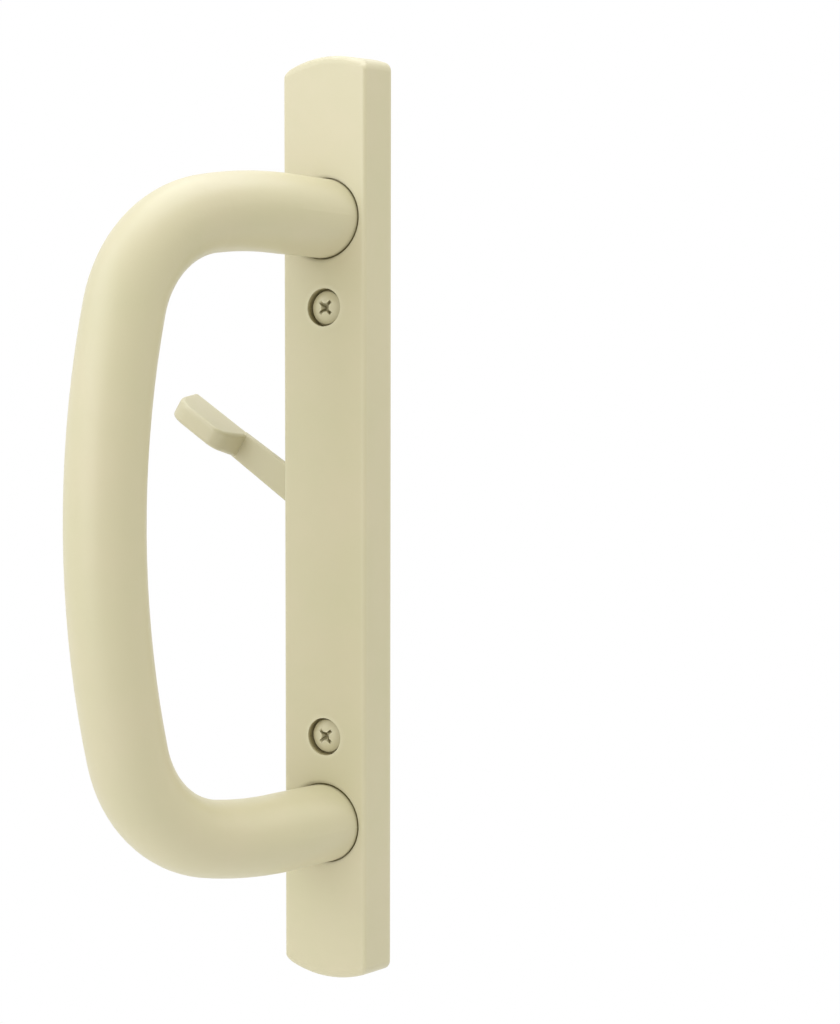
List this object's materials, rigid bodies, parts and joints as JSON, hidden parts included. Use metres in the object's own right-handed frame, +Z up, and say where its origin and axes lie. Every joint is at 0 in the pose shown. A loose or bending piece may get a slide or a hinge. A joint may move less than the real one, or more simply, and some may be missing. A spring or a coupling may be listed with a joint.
{
  "type": "sliding patio door handle",
  "caption": "Inside handle of a sliding patio door: a long hollow plate with an offset C-shaped round pull and a thumb lever that turns a flat tailpiece.",
  "frame": {"origin": "on the door's surface, on the lever's axis, midway between the mounting screws", "axes": "+Z up along the plate, +X to the right seen from the room, +Y into the door"},
  "size_m": [0.0556, 0.0899, 0.218],
  "materials": {
    "almond_plate": "satin powder coat",
    "almond_pull": "satin powder coat",
    "almond_lever": "satin powder coat",
    "almond_screws": "satin paint",
    "zinc_steel": "bright zinc plate",
    "spring_steel": "dark oiled spring steel",
    "white_nylon": "natural nylon"
  },
  "bodies": {
    "handle": {"escutcheon": "almond_plate", "pull_handle": "almond_pull", "mounting_screws": "almond_screws", "pull_screws": "zinc_steel", "pull_lock_washers": "spring_steel", "lever_bushing": "white_nylon", "spring_washer": "spring_steel", "retainer_plate": "zinc_steel", "retainer_screws": "zinc_steel"},
    "lever": {"thumb_lever": "almond_lever", "tailpiece": "zinc_steel", "tailpiece_pin": "spring_steel"}
  },
  "joints": [
    {"name": "lever_turn", "type": "hinge", "parent": "handle", "child": "lever", "pos_m": [0, 0, 0], "axis": [0, -1, 0], "range_deg": [0, 66.6]}
  ]
}
